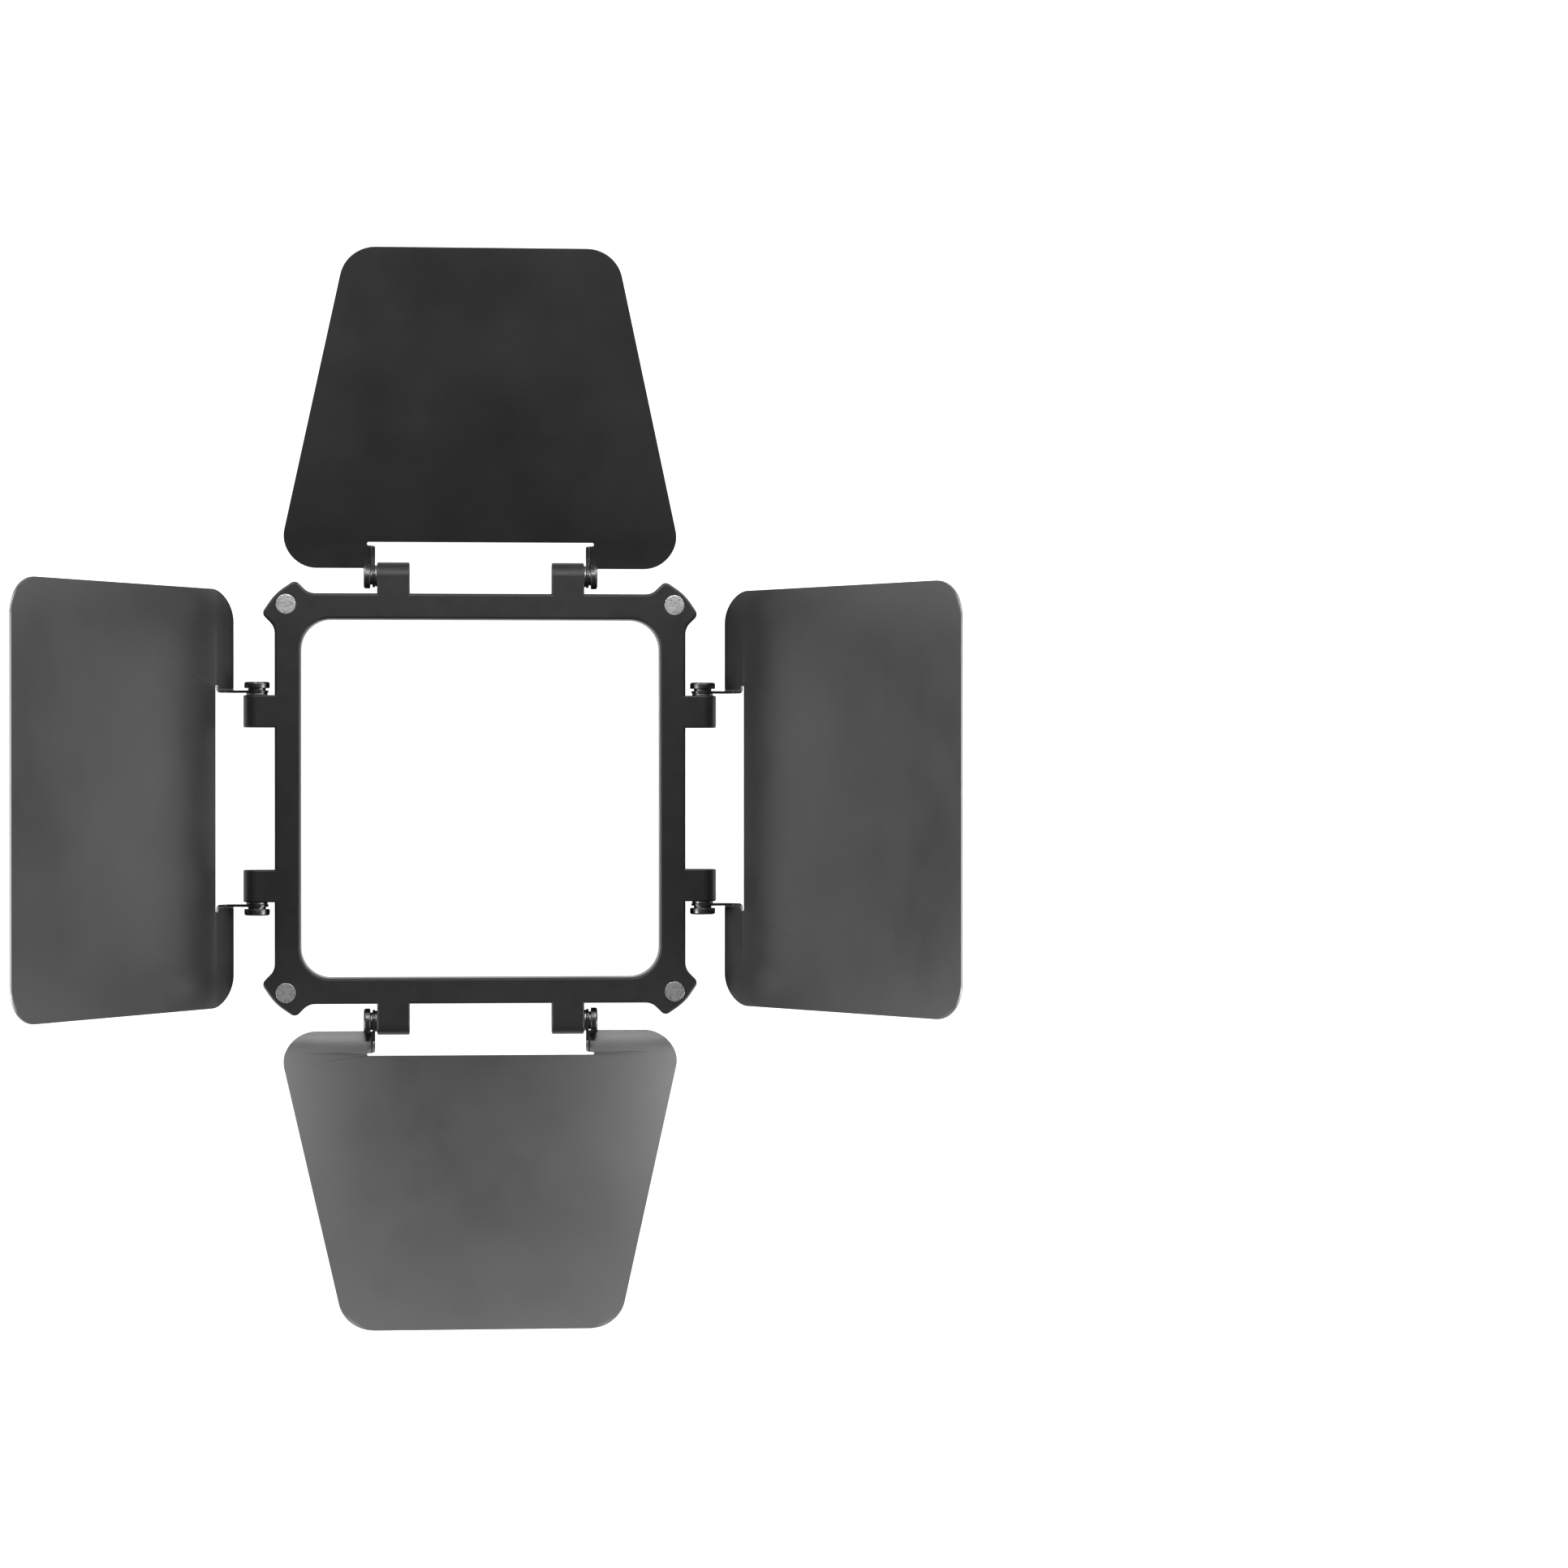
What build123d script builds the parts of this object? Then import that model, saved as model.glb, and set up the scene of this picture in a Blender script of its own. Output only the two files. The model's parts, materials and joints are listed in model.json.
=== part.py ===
from build123d import *

import math
import os

# Barn door attachment for a pocket-size square lamp, in millimetres.
# It lies on its rear (lamp) face: the origin is the centre of the window on that face,
# +Z points along the light beam, +Y to the top leaf and +X to the right leaf.
# Four sheet leaves turn on headed pins in knuckles on a square frame, held by friction.

# Frame
FRAME_SIDE = 48.0
WINDOW_SIDE = 42.0
FRAME_DEPTH = 4.0
WINDOW_CORNER = 3.5
EDGE_ROUND = 0.3

# Corner ears: two blunt tips to each, with a slightly crowned face between them
EAR_REACH = 25.55
EAR_TIP_ALONG = 21.6
EAR_CROWN = 23.95
EAR_TIP_ROUND = 0.75
EAR_FOOT_ROUND = 1.8
EAR_CROWN_ROUND = 6.0

# Holding magnets, pressed through the ears
MAGNET_SPACING = 45.4
MAGNET_RADIUS = 1.25
MAGNET_RECESS = 0.05
MAGNET_ROUND = 0.15

# Hinges: two knuckles on each side of the frame
PIVOT_OUT = 26.1
PIVOT_HEIGHT = 2.4
KNUCKLE_INNER = 8.3
KNUCKLE_OUTER = 12.1
KNUCKLE_RADIUS = FRAME_DEPTH - PIVOT_HEIGHT
KNUCKLE_ROUND = 0.2
KNUCKLE_OVERLAP = 0.8

# Hinge stack along the pivot, outward from the knuckle
PIN_RADIUS = 0.6
PIN_SEAT = 2.8
HEAD_RADIUS = 1.5
HEAD_THICKNESS = 0.76
HEAD_ROUND = 0.25
DIMPLE_RADIUS = 0.45
DIMPLE_DEPTH = 0.15
STACK_GAP = 0.02
SPRING_WASHER = 0.23
SPRING_WASHER_RADIUS = 1.25
COVER_WASHER = 0.24
COVER_WASHER_RADIUS = 1.05
WASHER_BORE = 0.62
SHEET = 0.3
LUG_INNER = KNUCKLE_OUTER + SPRING_WASHER + STACK_GAP
COVER_INNER = LUG_INNER + SHEET + STACK_GAP
HEAD_INNER = COVER_INNER + COVER_WASHER
HEAD_OUTER = HEAD_INNER + HEAD_THICKNESS

# Leaves: folded sheet, shared by all four
LUG_RADIUS = 1.35
LUG_BORE = 0.65
LUG_FOOT = 1.9
FOLD_RADIUS = 0.25
FOLD_LINE = LUG_INNER + SHEET + FOLD_RADIUS
FOLD_END = 3.0
RELIEF_LINE = FOLD_LINE + 0.4
RELIEF_ROUND = 0.2
ROOT_GAP = 0.4
NOTCH_LINE = 3.5
ROLL_RADIUS = 12.0
ROOT_CORNER = 3.8
FAR_CORNER = 4.2

# Each leaf: turn about Z from the top side, rest tilt, panel's distance behind the pivot,
# reach from the pivot, half width at the root and half width at the far edge
LEAVES = {
    "top": (0, 22.0, 2.15, 39.0, 23.95, 15.4),
    "left": (90, 58.5, 3.55, 42.0, 24.45, 24.45),
    "bottom": (180, 34.0, 2.15, 39.0, 23.95, 15.4),
    "right": (270, 55.5, 3.55, 42.0, 24.45, 24.45),
}
# Each hinge end: the turn about Z that takes the +X end of the pivot line to it
ENDS = {"a": 180, "b": 0}


def at_pivot(turn):
    """The place of a side's pivot line: X along it, Y outward and Z up."""
    return Rot(0, 0, turn) * Pos(0, PIVOT_OUT, PIVOT_HEIGHT)


def along_pivot(start, end, radius):
    """A cylinder on the pivot line from one distance along it to another."""
    return extrude(Plane.YZ.offset(start) * Circle(radius), end - start)


def frame_outline():
    """The frame's outer outline: a square with an ear on each corner."""
    half = FRAME_SIDE / 2
    foot = EAR_TIP_ALONG - (EAR_REACH - half)
    quarter = [
        (foot, half),
        (EAR_TIP_ALONG, EAR_REACH),
        (EAR_CROWN, EAR_CROWN),
        (EAR_REACH, EAR_TIP_ALONG),
        (half, foot),
    ]
    rounds = [EAR_FOOT_ROUND, EAR_TIP_ROUND, EAR_CROWN_ROUND, EAR_TIP_ROUND, EAR_FOOT_ROUND]
    points = [Vector(*point).rotate(Axis.Z, -90 * turn) for turn in range(4) for point in quarter]
    return make_face(FilletPolyline(*points, radius=rounds * 4, close=True))


def knuckle(start, end):
    """A knuckle on the pivot line with a round outer end, reaching back into the rail."""
    reach_back = PIVOT_OUT - FRAME_SIDE / 2 + KNUCKLE_OVERLAP
    block = Box(end - start, reach_back, 2 * KNUCKLE_RADIUS)
    body = along_pivot(start, end, KNUCKLE_RADIUS)
    body += Pos((start + end) / 2, -reach_back / 2, 0) * block
    return fillet(body.edges().filter_by(GeomType.CIRCLE), KNUCKLE_ROUND)


def door_frame():
    """The square frame with its ears, knuckles, magnet holes and pin seats."""
    window = RectangleRounded(WINDOW_SIDE, WINDOW_SIDE, WINDOW_CORNER)
    body = extrude(frame_outline() - window, FRAME_DEPTH)
    body = fillet(body.edges().filter_by(Plane.XY), EDGE_ROUND)
    for turn, *_ in LEAVES.values():
        body += at_pivot(turn) * knuckle(KNUCKLE_INNER, KNUCKLE_OUTER)
        body += at_pivot(turn) * knuckle(-KNUCKLE_OUTER, -KNUCKLE_INNER)
    for turn, *_ in LEAVES.values():
        for flip in ENDS.values():
            seat = along_pivot(KNUCKLE_OUTER - PIN_SEAT, LUG_INNER, PIN_RADIUS)
            body -= at_pivot(turn) * Rot(0, 0, flip) * seat
    for x, y in magnet_places().values():
        body -= Pos(x, y, FRAME_DEPTH / 2) * Cylinder(MAGNET_RADIUS, 2 * FRAME_DEPTH)
    return body


def magnet_places():
    """Each magnet's name and its place on the frame."""
    half = MAGNET_SPACING / 2
    return {
        "magnet_top_left": (-half, half),
        "magnet_top_right": (half, half),
        "magnet_bottom_left": (-half, -half),
        "magnet_bottom_right": (half, -half),
    }


def magnet(x, y):
    """A round magnet that goes through the frame, with softened rims."""
    body = Cylinder(MAGNET_RADIUS, FRAME_DEPTH - 2 * MAGNET_RECESS)
    body = fillet(body.edges().filter_by(GeomType.CIRCLE), MAGNET_ROUND)
    return Pos(x, y, FRAME_DEPTH / 2) * body


def hinge_pin():
    """A headed pin: its shank is pressed into the knuckle and its head holds the stack."""
    shank = along_pivot(KNUCKLE_OUTER - PIN_SEAT, HEAD_INNER, PIN_RADIUS)
    head = along_pivot(HEAD_INNER, HEAD_OUTER, HEAD_RADIUS)
    rim = head.edges().filter_by(GeomType.CIRCLE).sort_by(Axis.X)[-1]
    head = fillet(rim, HEAD_ROUND)
    dimple = along_pivot(HEAD_OUTER - DIMPLE_DEPTH, HEAD_OUTER + 1, DIMPLE_RADIUS)
    return shank + head - dimple


def washer(start, thickness, radius):
    """A flat ring round the pin."""
    ring = along_pivot(start, start + thickness, radius)
    return ring - along_pivot(start - 1, start + thickness + 1, WASHER_BORE)


def roll_disc(behind, radius):
    """A disc on the axis that the sheet's root strip is rolled round, in the YZ plane."""
    return Pos(NOTCH_LINE, ROLL_RADIUS - behind) * Circle(radius)


def lug(behind):
    """The lug and its fold at the +X end of a leaf, in the leaf's own plane."""
    foot = Line((ROOT_GAP, -behind), (LUG_FOOT, -behind))
    outline = make_hull(Circle(LUG_RADIUS).edges() + foot.edges())
    outline &= roll_disc(behind, ROLL_RADIUS - SHEET / 2 - FOLD_RADIUS)
    plate = extrude(Plane.YZ.offset(LUG_INNER) * outline, SHEET)
    ring = Circle(FOLD_RADIUS + SHEET) - Circle(FOLD_RADIUS)
    quarter = ring & Rectangle(2, 2, align=(Align.MAX, Align.MAX))
    place = Pos(FOLD_LINE, NOTCH_LINE, SHEET / 2 + FOLD_RADIUS - behind)
    section = place * Rot(90, 0, 0) * quarter
    roll_axis = Axis((0, NOTCH_LINE, ROLL_RADIUS - behind), (-1, 0, 0))
    start, end = (
        math.degrees(math.asin((NOTCH_LINE - reach) / ROLL_RADIUS)) for reach in (FOLD_END, ROOT_GAP)
    )
    fold = revolve(section.rotate(roll_axis, start), roll_axis, end - start)
    return plate + fold


def leaf(behind, reach, root_half, far_half):
    """A sheet leaf, its root strip rolled, with a lug folded up at each end of its notch."""
    points = [
        (-root_half, ROOT_GAP),
        (-FOLD_LINE, ROOT_GAP),
        (-FOLD_LINE, FOLD_END),
        (-RELIEF_LINE, FOLD_END),
        (-RELIEF_LINE, NOTCH_LINE),
        (RELIEF_LINE, NOTCH_LINE),
        (RELIEF_LINE, FOLD_END),
        (FOLD_LINE, FOLD_END),
        (FOLD_LINE, ROOT_GAP),
        (root_half, ROOT_GAP),
        (far_half, reach),
        (-far_half, reach),
    ]
    ends = [ROOT_CORNER, 0, 0, RELIEF_ROUND, RELIEF_ROUND]
    rounds = ends + ends[::-1] + [FAR_CORNER, FAR_CORNER]
    outline = make_face(FilletPolyline(*points, radius=rounds, close=True))
    below = Align.MAX, Align.MAX
    rolled = roll_disc(behind, ROLL_RADIUS + SHEET / 2) - roll_disc(behind, ROLL_RADIUS - SHEET / 2)
    rolled &= Pos(NOTCH_LINE, 0) * Rectangle(NOTCH_LINE, 2 * behind, align=below)
    panel = Pos(NOTCH_LINE, -behind) * Rectangle(reach, SHEET, align=(Align.MIN, Align.CENTER))
    body = extrude(Plane.YZ * (rolled + panel), root_half + 1, both=True)
    body &= extrude(outline, 2 * behind, both=True)
    body += lug(behind)
    body += mirror(lug(behind), Plane.YZ)
    return body - along_pivot(-LUG_INNER - 1, LUG_INNER + 1, LUG_BORE)


def sub_parts():
    """Every sub-part's name and solid, each at its place at rest."""
    parts = {"door_frame": door_frame()}
    for name, (x, y) in magnet_places().items():
        parts[name] = magnet(x, y)
    for side, (turn, tilt, behind, *sizes) in LEAVES.items():
        place = at_pivot(turn)
        parts[f"{side}_leaf"] = place * Rot(tilt, 0, 0) * leaf(behind, *sizes)
        for end, flip in ENDS.items():
            stack = {
                "hinge_pin": hinge_pin(),
                "spring_washer": washer(KNUCKLE_OUTER, SPRING_WASHER, SPRING_WASHER_RADIUS),
                "cover_washer": washer(COVER_INNER, COVER_WASHER, COVER_WASHER_RADIUS),
            }
            for piece, solid in stack.items():
                parts[f"{side}_{piece}_{end}"] = place * Rot(0, 0, flip) * solid
    return parts


def main():
    os.makedirs("parts", exist_ok=True)
    for name, solid in sub_parts().items():
        export_step(solid, f"parts/{name}.step")


main()
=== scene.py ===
import json
import math

import bmesh
import bpy
from mathutils import Matrix, Vector


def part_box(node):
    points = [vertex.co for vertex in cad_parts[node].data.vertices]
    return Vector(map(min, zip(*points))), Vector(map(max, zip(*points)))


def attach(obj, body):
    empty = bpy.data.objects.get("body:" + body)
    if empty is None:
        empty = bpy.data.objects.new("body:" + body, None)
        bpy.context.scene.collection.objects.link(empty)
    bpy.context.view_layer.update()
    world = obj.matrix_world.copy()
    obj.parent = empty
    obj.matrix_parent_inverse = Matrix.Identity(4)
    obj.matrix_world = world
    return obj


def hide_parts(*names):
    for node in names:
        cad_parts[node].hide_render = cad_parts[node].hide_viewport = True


# Barn door attachment: a black moulded frame on a plain white surface, its four leaves part open.
# Everything is in metres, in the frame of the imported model: +Z along the beam, +Y to the top leaf.

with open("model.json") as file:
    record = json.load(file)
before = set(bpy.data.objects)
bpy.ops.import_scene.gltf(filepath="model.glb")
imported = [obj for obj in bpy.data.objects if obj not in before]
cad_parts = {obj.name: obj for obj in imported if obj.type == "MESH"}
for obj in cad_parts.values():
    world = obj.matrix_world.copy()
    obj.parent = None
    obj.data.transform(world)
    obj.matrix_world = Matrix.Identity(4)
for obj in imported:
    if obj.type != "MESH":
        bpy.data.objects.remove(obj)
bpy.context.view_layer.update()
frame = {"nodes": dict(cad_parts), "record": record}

MM = 0.001

# Camera, straight above the window but for a few millimetres, aimed a little to the right
CAMERA_PLACE = (-4 * MM, 3 * MM)
CAMERA_HEIGHT = 483.6 * MM
CAMERA_AIM = (35.6 * MM, 1.7 * MM)
CAMERA_LENS = 94.6
SENSOR_WIDTH = 36

# Lamps, in millimetres and watts: one strip and two small lamps behind the top leaf
BACK_AIM = (0, -40, 10)
BACK_STRIP_PLACE = (0, 105, 158)
BACK_STRIP_SIZE = (130, 20)
BACK_STRIP_POWER = 0.22
BACK_LAMP_OUT = 50
BACK_LAMP_ALONG = 105
BACK_LAMP_UP = 72
BACK_LAMP_SIZE = (28, 28)
BACK_LAMP_POWER = {"left": 0.075, "right": 0.085}

# The row of lamps on each side: each one's place along the side, its height and its power
SIDE_AIM = (0, 0, 12)
SIDE_LAMP_OUT = 190
SIDE_LAMP_SIZE = (150, 90)
SIDE_ROW = {
    "front": (-125, 60, 0.5),
    "middle": (-40, 105, 0.65),
    "rear": (120, 70, 0.5),
}

# Surroundings
FLOOR_DROP = 1.6 * MM
FLOOR_SIZE = 6
FLOOR_ALBEDO = 0.25
FLOOR_GLOW = 1.0
FLOOR_ROUGHNESS = 0.9
FLOOR_SPECULAR = 0.1
AMBIENT = 0.08

# Rounding of sharp edges, by material slot. The moulded frame's edges are round already.
ROUNDINGS = {
    "leaf_paint": 0.07 * MM,
    "hinge_pin": 0.05 * MM,
    "washer": 0.05 * MM,
    "magnet": 0.09 * MM,
}
ROUNDING_STEPS = 3
WELD = 0.0005 * MM
FLAT_ANGLE = math.radians(0.3)
SHARP_ANGLE = math.radians(35)

# Hinges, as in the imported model, and the pitch of the turning marks on their pins and washers
PIVOT_OUT = 26.1 * MM
PIVOT_HEIGHT = 2.4 * MM
RING_PITCH = 0.11 * MM


# ---------------------------------------------------------------- camera, light and floor


def make_camera():
    """Nearly straight above the window, with +Y up the picture."""
    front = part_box("door_frame")[1].z
    data = bpy.data.cameras.new("camera")
    data.lens = CAMERA_LENS
    data.sensor_width = SENSOR_WIDTH
    camera = bpy.data.objects.new("camera", data)
    bpy.context.scene.collection.objects.link(camera)
    camera.location = (*CAMERA_PLACE, front + CAMERA_HEIGHT)
    look = (Vector((*CAMERA_AIM, front)) - camera.location).normalized()
    side = look.cross(Vector((0, 1, 0))).normalized()
    turn = Matrix((side, side.cross(look), -look)).transposed()
    camera.rotation_euler = turn.to_euler()
    bpy.context.scene.camera = camera


def softbox(name, place, aim, size, power):
    """A soft rectangular lamp at place that faces aim, in millimetres and watts."""
    data = bpy.data.lights.new(name, "AREA")
    data.shape = "RECTANGLE"
    data.size, data.size_y = (length * MM for length in size)
    data.energy = power
    lamp = bpy.data.objects.new(name, data)
    bpy.context.scene.collection.objects.link(lamp)
    lamp.location = Vector(place) * MM
    lamp.rotation_euler = (Vector(aim) - Vector(place)).to_track_quat("-Z", "Y").to_euler()
    lamp.visible_camera = False


def light_the_scene():
    """A strip and two small softboxes behind the top leaf, three larger ones on each side."""
    world = bpy.data.worlds.new("world")
    bpy.context.scene.world = world
    world.use_nodes = True
    background = world.node_tree.nodes["Background"]
    background.inputs["Color"].default_value = (1, 1, 1, 1)
    background.inputs["Strength"].default_value = AMBIENT
    softbox("back_strip", BACK_STRIP_PLACE, BACK_AIM, BACK_STRIP_SIZE, BACK_STRIP_POWER)
    for side, sign in (("left", -1), ("right", 1)):
        place = (sign * BACK_LAMP_OUT, BACK_LAMP_ALONG, BACK_LAMP_UP)
        softbox(f"{side}_back", place, BACK_AIM, BACK_LAMP_SIZE, BACK_LAMP_POWER[side])
        for spot, (along, up, power) in SIDE_ROW.items():
            place = (sign * SIDE_LAMP_OUT, along, up)
            softbox(f"{side}_{spot}", place, SIDE_AIM, SIDE_LAMP_SIZE, power)
    bpy.context.scene.view_settings.view_transform = "Standard"


def make_floor():
    """A plain surface that glows white, a little below the object so that opened leaves clear it."""
    bpy.ops.mesh.primitive_plane_add(size=FLOOR_SIZE, location=(0, 0, -FLOOR_DROP))
    floor = bpy.context.object
    floor.name = "floor"
    material = bpy.data.materials.new("floor_white")
    material.use_nodes = True
    shader = material.node_tree.nodes["Principled BSDF"]
    shader.inputs["Base Color"].default_value = (*grey(FLOOR_ALBEDO), 1)
    shader.inputs["Roughness"].default_value = FLOOR_ROUGHNESS
    shader.inputs["Specular IOR Level"].default_value = FLOOR_SPECULAR
    shader.inputs["Emission Color"].default_value = (1, 1, 1, 1)
    shader.inputs["Emission Strength"].default_value = FLOOR_GLOW
    floor.data.materials.append(material)


# ---------------------------------------------------------------- materials


class Look:
    """A material's node tree, with short calls for the nodes that these materials use."""

    def __init__(self, name, metallic=0.0):
        self.material = bpy.data.materials.new(name)
        self.material.use_nodes = True
        self.tree = self.material.node_tree
        self.shader = self.tree.nodes["Principled BSDF"]
        self.shader.inputs["Metallic"].default_value = metallic
        self.place = self.node("ShaderNodeTexCoord").outputs["Object"]

    def node(self, kind, **settings):
        made = self.tree.nodes.new(kind)
        for name, value in settings.items():
            setattr(made, name, value)
        return made

    def link(self, source, target):
        self.tree.links.new(source, target)

    def feed(self, socket, value):
        """Sets a socket to a number, or links it to another node's output."""
        if isinstance(value, bpy.types.NodeSocket):
            self.link(value, socket)
        else:
            socket.default_value = value

    def noise(self, size, detail=2.0, rough=0.5, stretch=(1, 1, 1)):
        """Noise with features about size across, in metres, stretched along the axes."""
        place = self.node("ShaderNodeVectorMath", operation="MULTIPLY")
        self.link(self.place, place.inputs[0])
        place.inputs[1].default_value = [1 / (size * factor) for factor in stretch]
        noise = self.node("ShaderNodeTexNoise")
        noise.inputs["Scale"].default_value = 1.0
        noise.inputs["Detail"].default_value = detail
        noise.inputs["Roughness"].default_value = rough
        self.link(place.outputs[0], noise.inputs["Vector"])
        return noise.outputs["Fac"]

    def cells(self, size):
        """Distance from scattered points about size apart, in metres."""
        place = self.node("ShaderNodeVectorMath", operation="SCALE")
        self.link(self.place, place.inputs[0])
        place.inputs["Scale"].default_value = 1 / size
        cells = self.node("ShaderNodeTexVoronoi")
        cells.inputs["Scale"].default_value = 1.0
        self.link(place.outputs[0], cells.inputs["Vector"])
        return cells.outputs["Distance"]

    def remap(self, value, source, target=(0, 1)):
        """Value taken from the source range to the target range."""
        made = self.node("ShaderNodeMapRange")
        self.link(value, made.inputs["Value"])
        made.inputs["From Min"].default_value, made.inputs["From Max"].default_value = source
        made.inputs["To Min"].default_value, made.inputs["To Max"].default_value = target
        return made.outputs["Result"]

    def math(self, operation, first, second=0.0):
        made = self.node("ShaderNodeMath", operation=operation)
        self.feed(made.inputs[0], first)
        self.feed(made.inputs[1], second)
        return made.outputs[0]

    def colour(self, amount, dark, light):
        """The base colour, from dark where amount is 0 to light where it is 1."""
        mix = self.node("ShaderNodeMix", data_type="RGBA")
        self.link(amount, mix.inputs["Factor"])
        mix.inputs["A"].default_value = (*dark, 1)
        mix.inputs["B"].default_value = (*light, 1)
        self.link(mix.outputs["Result"], self.shader.inputs["Base Color"])

    def roughness(self, value):
        self.link(value, self.shader.inputs["Roughness"])

    def bump(self, *heights):
        """Bump from pairs of a 0 to 1 height and its depth in metres."""
        below = None
        for height, depth in heights:
            made = self.node("ShaderNodeBump")
            made.inputs["Distance"].default_value = depth
            self.link(height, made.inputs["Height"])
            if below:
                self.link(below, made.inputs["Normal"])
            below = made.outputs["Normal"]
        self.link(below, self.shader.inputs["Normal"])


def grey(level):
    return (level, level, level)


def frame_plastic():
    """Black moulding with a fine spark-eroded texture, polished a little by handling."""
    look = Look("frame_plastic")
    grain = look.noise(0.16 * MM, detail=3, rough=0.6)
    cloud = look.noise(7 * MM, detail=3)
    worn = look.remap(look.noise(2.2 * MM, detail=4), (0.45, 0.7))
    tone = look.math("ADD", look.math("MULTIPLY", cloud, 0.6), look.math("MULTIPLY", grain, 0.4))
    look.shader.inputs["Specular IOR Level"].default_value = 0.22
    look.colour(tone, grey(0.007), grey(0.014))
    rough = look.remap(grain, (0.25, 0.75), (0.44, 0.38))
    look.roughness(look.math("SUBTRACT", rough, look.math("MULTIPLY", worn, 0.06)))
    look.bump((grain, 0.012 * MM), (look.noise(1.4 * MM), 0.01 * MM))
    return look.material


def leaf_paint():
    """Satin black paint on sheet metal: fine orange peel, a finer grain and faint handling marks."""
    look = Look("leaf_paint")
    peel = look.noise(0.42 * MM, detail=2, rough=0.45)
    fine = look.noise(0.09 * MM, detail=2)
    cloud = look.noise(11 * MM, detail=3, rough=0.55)
    rub = look.remap(look.noise(3 * MM, detail=4, stretch=(1, 3, 1)), (0.48, 0.72))
    look.colour(look.remap(cloud, (0.3, 0.7)), grey(0.0065), grey(0.0105))
    rough = look.remap(cloud, (0.3, 0.7), (0.295, 0.31))
    look.roughness(look.math("SUBTRACT", rough, look.math("MULTIPLY", rub, 0.02)))
    look.bump((peel, 0.0022 * MM), (fine, 0.0006 * MM))
    return look.material


def turned_rings(look):
    """Rings from turning, round whichever pivot line a point is nearest."""
    parts = look.node("ShaderNodeSeparateXYZ")
    look.link(look.place, parts.inputs[0])
    across = look.math("ABSOLUTE", parts.outputs["X"])
    along = look.math("ABSOLUTE", parts.outputs["Y"])
    out = look.math("SUBTRACT", look.math("MAXIMUM", across, along), PIVOT_OUT)
    up = look.math("SUBTRACT", parts.outputs["Z"], PIVOT_HEIGHT)
    square = look.math("ADD", look.math("MULTIPLY", out, out), look.math("MULTIPLY", up, up))
    radius = look.math("SQRT", square)
    wave = look.math("SINE", look.math("MULTIPLY", radius, math.tau / RING_PITCH))
    return look.remap(wave, (-1, 1))


def hinge_pin():
    """Turned steel with an uneven black oxide finish."""
    look = Look("hinge_pin", metallic=1.0)
    rings = turned_rings(look)
    stain = look.noise(0.35 * MM, detail=4, rough=0.6)
    look.colour(look.remap(stain, (0.35, 0.75)), grey(0.045), grey(0.13))
    look.roughness(look.remap(stain, (0.3, 0.7), (0.42, 0.32)))
    look.bump((rings, 0.004 * MM), (stain, 0.006 * MM))
    return look.material


def washer_plate():
    """Dull nickel on the spring and cover washers, with darker stains."""
    look = Look("washer", metallic=1.0)
    stain = look.noise(0.3 * MM, detail=4, rough=0.6)
    look.colour(look.remap(stain, (0.3, 0.7)), grey(0.1), grey(0.28))
    look.roughness(look.remap(stain, (0.3, 0.7), (0.5, 0.38)))
    look.bump((turned_rings(look), 0.003 * MM), (stain, 0.004 * MM))
    return look.material


def magnet_plate():
    """Nickel plate on a sintered magnet: grainy, dull and pitted, with faint scratches."""
    look = Look("magnet", metallic=1.0)
    grain = look.noise(0.34 * MM, detail=4, rough=0.7)
    pits = look.remap(look.cells(0.3 * MM), (0.0, 0.45))
    scratch = look.noise(0.12 * MM, detail=2, stretch=(1, 9, 1))
    tone = look.math("MULTIPLY", look.remap(grain, (0.3, 0.7), (0.35, 1)), pits)
    look.colour(tone, grey(0.1), grey(0.52))
    look.roughness(look.remap(grain, (0.3, 0.7), (0.5, 0.34)))
    look.bump((grain, 0.018 * MM), (pits, 0.008 * MM), (scratch, 0.004 * MM))
    return look.material


LOOKS = {
    "frame_plastic": frame_plastic(),
    "leaf_paint": leaf_paint(),
    "hinge_pin": hinge_pin(),
    "washer": washer_plate(),
    "magnet": magnet_plate(),
}


# ---------------------------------------------------------------- pieces


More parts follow.
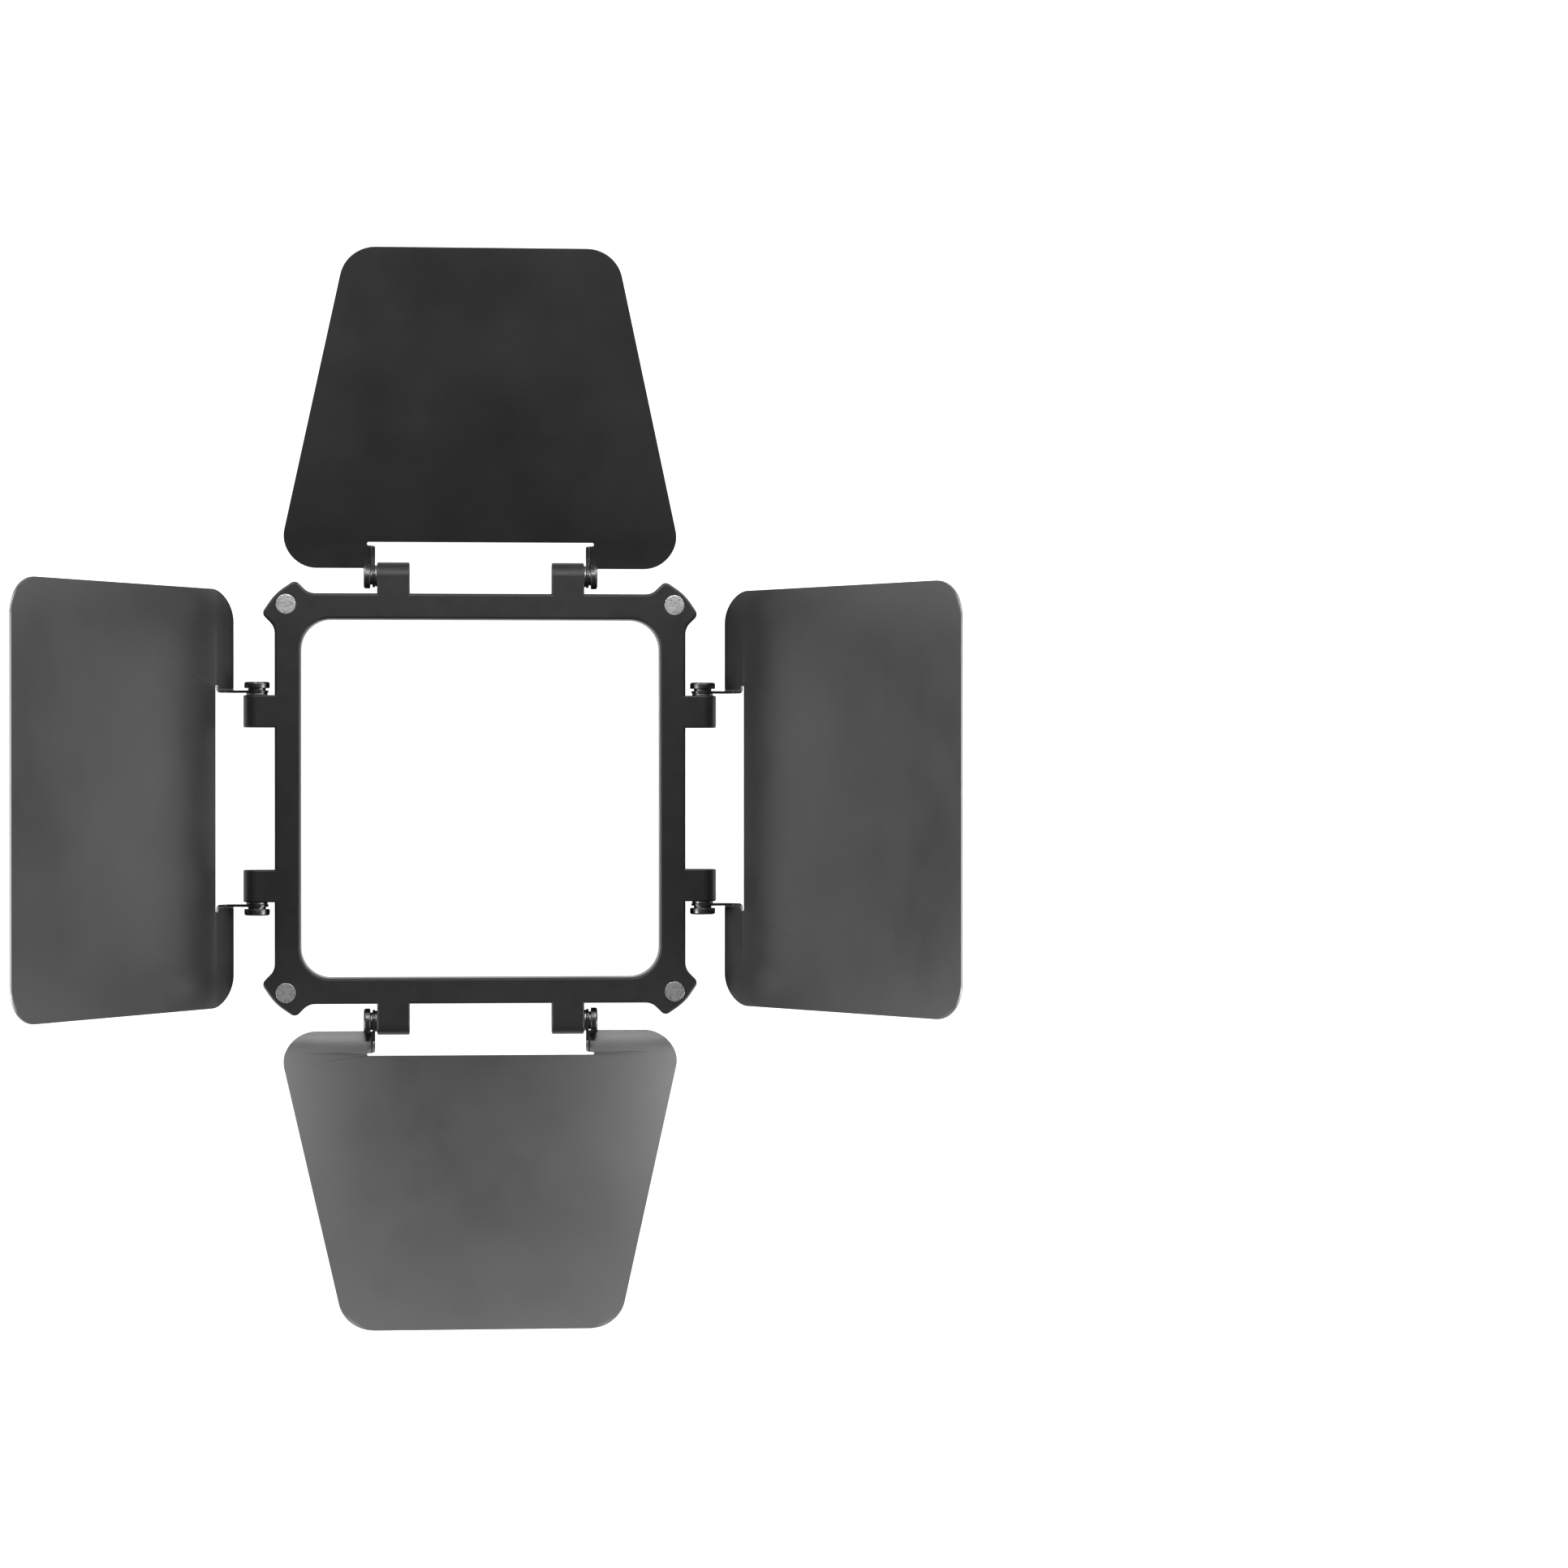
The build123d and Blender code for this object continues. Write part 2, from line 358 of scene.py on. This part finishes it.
def body_of(node):
    for body, nodes in frame["record"]["behaviour"]["bodies"].items():
        if node in nodes:
            return body


def rounded_copy(node, slot):
    """A new piece with a CAD node's shape whose sharp edges are rounded, standing for that node."""
    mesh = bmesh.new()
    mesh.from_mesh(frame["nodes"][node].data)
    bmesh.ops.remove_doubles(mesh, verts=mesh.verts, dist=WELD)
    bmesh.ops.dissolve_limit(
        mesh,
        angle_limit=FLAT_ANGLE,
        verts=mesh.verts,
        edges=mesh.edges,
        use_dissolve_boundaries=False,
    )
    mesh.normal_update()
    inner = [edge for edge in mesh.edges if edge.is_manifold]
    sharp = [edge for edge in inner if edge.calc_face_angle(0) > SHARP_ANGLE]
    bmesh.ops.bevel(
        mesh,
        geom=sharp,
        offset=ROUNDINGS[slot],
        offset_type="OFFSET",
        segments=ROUNDING_STEPS,
        profile=0.5,
        affect="EDGES",
        clamp_overlap=True,
        miter_outer="ARC",
    )
    bmesh.ops.remove_doubles(mesh, verts=mesh.verts, dist=WELD)
    bmesh.ops.triangulate(mesh, faces=[face for face in mesh.faces if len(face.verts) > 4])
    mesh.normal_update()
    for face in mesh.faces:
        face.smooth = True
    for edge in mesh.edges:
        edge.smooth = edge.calc_face_angle(0) < SHARP_ANGLE
    name = f"{node}_finished"
    data = bpy.data.meshes.new(name)
    mesh.to_mesh(data)
    mesh.free()
    data.materials.append(LOOKS[slot])
    piece = bpy.data.objects.new(name, data)
    bpy.context.scene.collection.objects.link(piece)
    weighted = piece.modifiers.new("even_shading", "WEIGHTED_NORMAL")
    weighted.keep_sharp = True
    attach(piece, body_of(node))
    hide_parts(node)


def finish_nodes():
    """Gives each CAD node its finish: rounded copies of the small parts and leaves, and the frame."""
    for row in frame["record"]["subparts"]:
        node, slot = row["node"], row["material_slot"]
        if slot in ROUNDINGS:
            rounded_copy(node, slot)
        else:
            kept = frame["nodes"][node]
            kept.data.materials.clear()
            kept.data.materials.append(LOOKS[slot])


make_camera()
light_the_scene()
make_floor()
finish_nodes()
